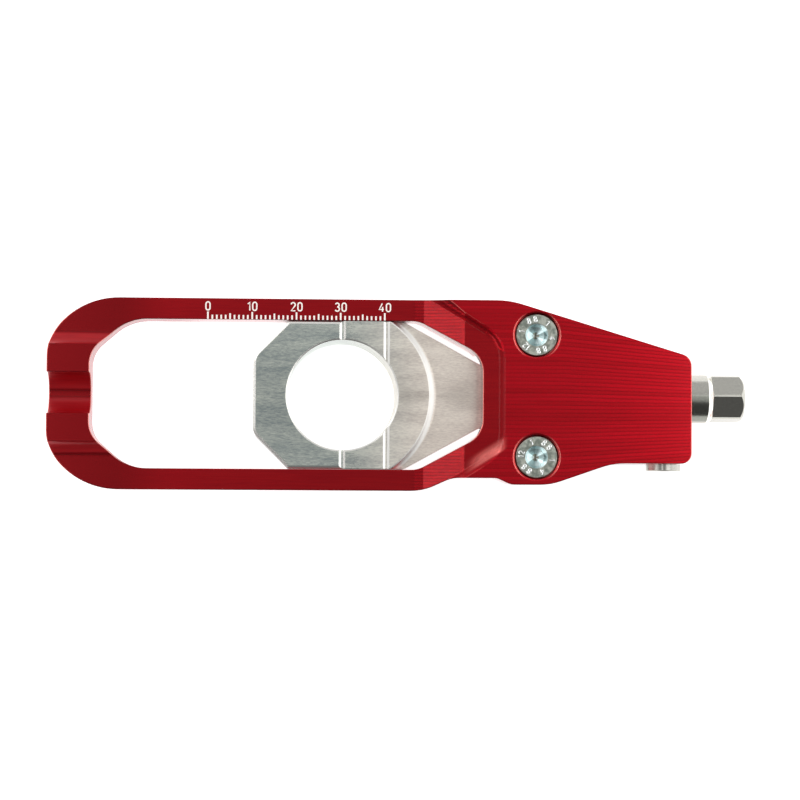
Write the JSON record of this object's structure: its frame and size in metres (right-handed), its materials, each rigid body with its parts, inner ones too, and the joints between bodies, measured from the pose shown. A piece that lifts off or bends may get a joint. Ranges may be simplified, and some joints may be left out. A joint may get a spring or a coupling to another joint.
{
  "type": "motorcycle chain adjuster",
  "caption": "Slotted swingarm end frame whose axle slider is drawn along a millimetre scale by a hexagon headed screw to tension the drive chain.",
  "frame": {"origin": "on the axle bore's centre line, in the plane of the rails' back that seats on the swingarm", "axes": "+X along the adjuster towards the hexagon, +Y across the rails towards the scale, +Z out of the visible face"},
  "size_m": [0.159, 0.0432, 0.019],
  "materials": {
    "red_anodised": "satin red anodising over milling marks",
    "plain_aluminium": "brushed, bare",
    "plated_steel": "bright turned and plated",
    "zinc_steel": "zinc plated"
  },
  "bodies": {
    "frame": {"frame_body": "red_anodised", "back_plate": "plain_aluminium", "front_screws": "zinc_steel", "retaining_screw": "plated_steel"},
    "slider": {"axle_slider": "plain_aluminium"},
    "screw": {"adjuster_screw": "plated_steel"}
  },
  "joints": [
    {"name": "screw_turn", "type": "hinge", "parent": "frame", "child": "screw", "pos_m": [0.07, 0, 0], "axis": [1, 0, 0], "range_deg": [-719, 9503]},
    {"name": "slider_travel", "type": "slide", "parent": "frame", "child": "slider", "axis": [1, 0, 0], "range_m": [-0.033, 0.0025]}
  ],
  "couplings": [
    {"joint": "slider_travel", "follows": "screw_turn", "m_per_rad": -0.00019894}
  ]
}
